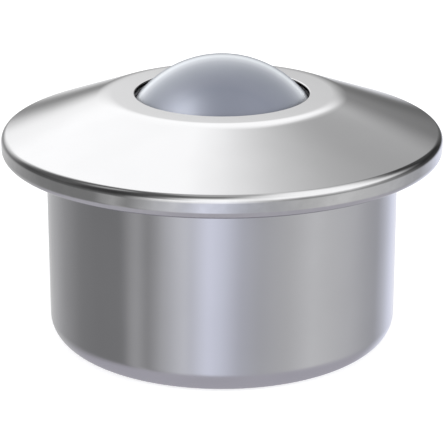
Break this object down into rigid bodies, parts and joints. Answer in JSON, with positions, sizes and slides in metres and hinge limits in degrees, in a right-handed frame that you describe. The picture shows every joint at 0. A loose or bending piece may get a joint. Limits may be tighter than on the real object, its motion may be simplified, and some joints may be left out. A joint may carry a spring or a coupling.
{
  "type": "ball transfer unit",
  "caption": "Flanged ball transfer unit: a steel load ball runs on small bearing balls in a pressed housing, so flat goods roll over it in any direction.",
  "frame": {"origin": "on the axis, in the seat plane, which is the underside of the folded lip under the flange", "axes": "+Z along the axis from the housing's floor to the load ball; X and Y are alike"},
  "size_m": [0.045, 0.045, 0.0295],
  "materials": {
    "housing_steel": "deep drawn, bright plated, satin",
    "cover_steel": "pressed, bright plated, polished",
    "ball_steel": "hardened, ground and lapped",
    "bearing_steel": "lapped",
    "raceway_steel": "hardened, ground raceway",
    "ring_plastic": "moulded",
    "felt": "pressed wool felt"
  },
  "bodies": {
    "housing": {"housing": "housing_steel", "cover": "cover_steel", "ball_cup": "raceway_steel", "retaining_ring": "ring_plastic", "felt_seal": "felt"},
    "swivel_ball": {"bearing_ball_pole": "bearing_steel"},
    "load_ball": {"load_ball": "ball_steel"},
    "bearing_balls": {"bearing_ball_row1_1": "bearing_steel", "bearing_ball_row1_2": "bearing_steel", "bearing_ball_row1_3": "bearing_steel", "bearing_ball_row1_4": "bearing_steel", "bearing_ball_row1_5": "bearing_steel", "bearing_ball_row1_6": "bearing_steel", "bearing_ball_row2_1": "bearing_steel", "bearing_ball_row2_2": "bearing_steel", "bearing_ball_row2_3": "bearing_steel", "bearing_ball_row2_4": "bearing_steel", "bearing_ball_row2_5": "bearing_steel", "bearing_ball_row2_6": "bearing_steel", "bearing_ball_row2_7": "bearing_steel", "bearing_ball_row2_8": "bearing_steel", "bearing_ball_row2_9": "bearing_steel", "bearing_ball_row2_10": "bearing_steel", "bearing_ball_row2_11": "bearing_steel", "bearing_ball_row2_12": "bearing_steel", "bearing_balls_row3": "bearing_steel", "bearing_balls_row4": "bearing_steel", "bearing_balls_row5": "bearing_steel", "bearing_balls_row6": "bearing_steel"}
  },
  "joints": [
    {"name": "load_ball_swivel", "type": "hinge", "parent": "housing", "child": "swivel_ball", "pos_m": [0, 0, -0.0012], "axis": [0, 0, 1], "continuous": true},
    {"name": "load_ball_roll", "type": "hinge", "parent": "swivel_ball", "child": "load_ball", "pos_m": [0, 0, -0.0012], "axis": [1, 0, 0], "continuous": true},
    {"name": "bearing_balls_orbit", "type": "hinge", "parent": "housing", "child": "bearing_balls", "pos_m": [0, 0, -0.0012], "axis": [0, 0, 1], "continuous": true}
  ],
  "couplings": [
    {"joint": "bearing_balls_orbit", "follows": "load_ball_swivel", "ratio": 0.44}
  ]
}
